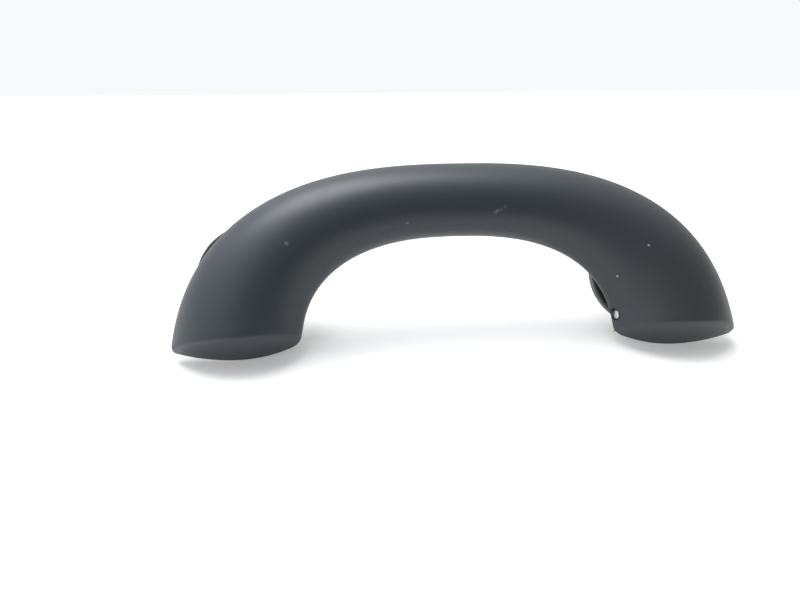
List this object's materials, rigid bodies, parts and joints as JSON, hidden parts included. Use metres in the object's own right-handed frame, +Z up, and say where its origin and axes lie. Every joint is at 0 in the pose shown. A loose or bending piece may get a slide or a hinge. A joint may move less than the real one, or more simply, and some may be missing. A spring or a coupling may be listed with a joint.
{
  "type": "folding grab handle",
  "caption": "Arch-shaped folding grab handle for a vehicle's interior, with a sprung and damped hinge at each foot and round screw-on bases.",
  "frame": {"origin": "on the body panel, midway between the two mounting screws", "axes": "+X along the handle to its right end, +Y into the panel, +Z up towards the top of the stowed arch"},
  "size_m": [0.2192, 0.0364, 0.0731],
  "materials": {
    "charcoal_moulding": "fine grain, dark charcoal",
    "black_nylon": "smooth glass-filled nylon",
    "steel": "oiled spring steel",
    "plated_steel": "zinc plated",
    "natural_acetal": "natural acetal",
    "damper_plastic": "smooth",
    "black_rubber": "matt"
  },
  "bodies": {
    "bases": {"left_return_spring": "steel", "left_spring_spool": "natural_acetal", "right_damper_housing": "damper_plastic", "right_damper_cap": "damper_plastic", "right_damper_seal": "black_rubber", "left_hinge_bracket": "black_nylon", "left_rosette": "charcoal_moulding", "left_screw_cover": "charcoal_moulding", "left_inner_pin_bush": "natural_acetal", "left_outer_pin_bush": "natural_acetal", "left_stop_buffer": "black_rubber", "right_hinge_bracket": "black_nylon", "right_rosette": "charcoal_moulding", "right_screw_cover": "charcoal_moulding", "right_inner_pin_bush": "natural_acetal", "right_outer_pin_bush": "natural_acetal", "right_stop_buffer": "black_rubber"},
    "grip": {"grip_front_shell": "charcoal_moulding", "grip_rear_cover": "charcoal_moulding", "cover_screw_left_outer": "plated_steel", "cover_screw_left_inner": "plated_steel", "cover_screw_right_inner": "plated_steel", "cover_screw_right_outer": "plated_steel", "right_damper_rotor": "natural_acetal", "left_hinge_pin": "plated_steel", "left_pin_clip": "steel", "right_hinge_pin": "plated_steel", "right_pin_clip": "steel"}
  },
  "joints": [
    {"name": "grip_hinge", "type": "hinge", "parent": "bases", "child": "grip", "pos_m": [0, -0.018, -0.0176], "axis": [1, 0, 0], "range_deg": [0, 85], "stiffness_Nm_per_rad": 0.04, "springref_deg": -57.3, "deforming": ["left_return_spring"]}
  ]
}
